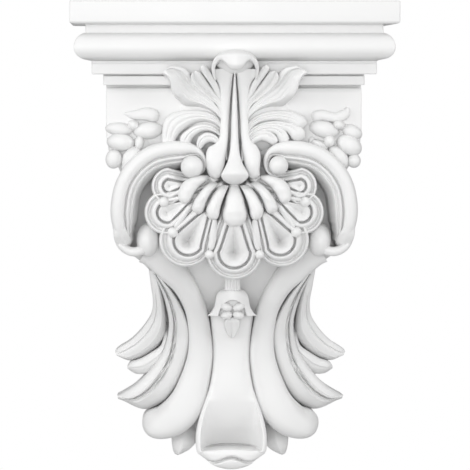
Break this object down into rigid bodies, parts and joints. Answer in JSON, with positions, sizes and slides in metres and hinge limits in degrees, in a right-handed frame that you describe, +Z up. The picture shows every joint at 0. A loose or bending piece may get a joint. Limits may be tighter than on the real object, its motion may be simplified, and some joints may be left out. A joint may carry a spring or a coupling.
{
  "type": "wall corbel",
  "caption": "Ornate white moulded wall corbel: stepped cornice over a scrolled console with a fluted shell, acanthus leaves and a dished tongue.",
  "frame": {"origin": "on the flat back face, on the centre line and at half the height, where the corbel is fixed to the wall", "axes": "+Z up, +Y into the wall (the carved front faces -Y), +X to the right seen from the front"},
  "size_m": [0.219, 0.1561, 0.319],
  "materials": {
    "primed_polyurethane": "white factory primer, matt to satin"
  },
  "bodies": {
    "root": {"corbel": "primed_polyurethane"}
  },
  "joints": []
}
